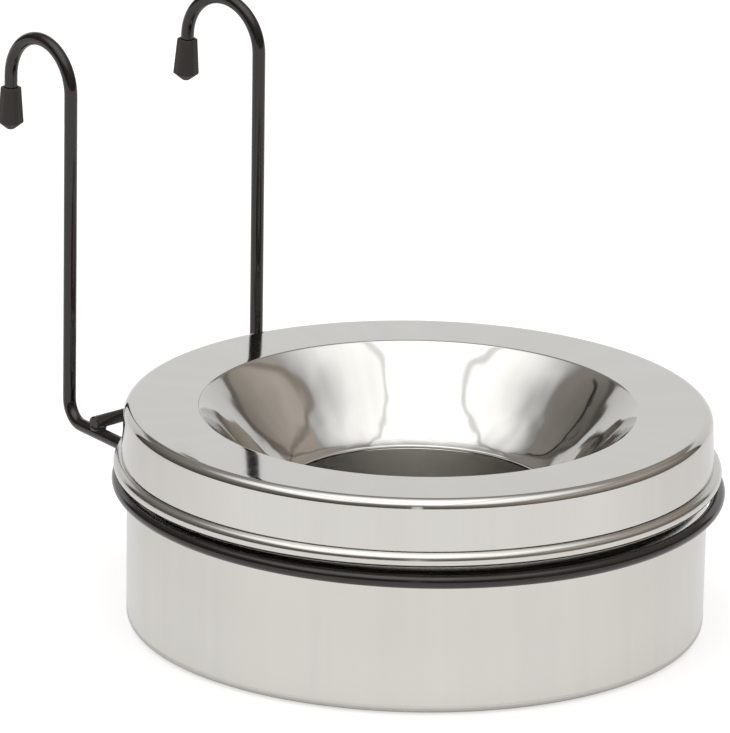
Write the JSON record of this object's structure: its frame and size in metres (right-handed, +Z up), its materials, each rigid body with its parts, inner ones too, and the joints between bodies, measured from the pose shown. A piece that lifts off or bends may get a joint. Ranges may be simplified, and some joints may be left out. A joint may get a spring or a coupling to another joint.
{
  "type": "water bowl with holder",
  "caption": "Round steel water bowl with a funnel lid, hung by its rim in a coated wire ring holder with hooks that go over a rail.",
  "frame": {"origin": "on the bowl's axis, at the underside of its base", "axes": "+Z up along the bowl's axis; the holder's arms, posts and hooks are on the -X side; the left hook is on the -Y side"},
  "size_m": [0.2767, 0.2112, 0.1856],
  "materials": {
    "brushed_stainless_steel": "satin brushed outside, polished on the funnel and rims",
    "black_coated_wire": "satin black coating over steel wire",
    "black_cap": "matt moulded"
  },
  "bodies": {
    "holder": {"wire_frame": "black_coated_wire", "crossbar": "black_coated_wire", "crossbar_weld_left": "black_coated_wire", "crossbar_weld_right": "black_coated_wire", "hook_cap_left": "black_cap", "hook_cap_right": "black_cap"},
    "bowl": {"water_bowl": "brushed_stainless_steel"},
    "lid": {"funnel_lid": "brushed_stainless_steel"}
  },
  "joints": [
    {"name": "bowl_lift", "type": "slide", "parent": "holder", "child": "bowl", "axis": [0, 0, 1], "range_m": [0, 0.07]},
    {"name": "lid_lift", "type": "slide", "parent": "bowl", "child": "lid", "axis": [0, 0, 1], "range_m": [0, 0.04]}
  ]
}
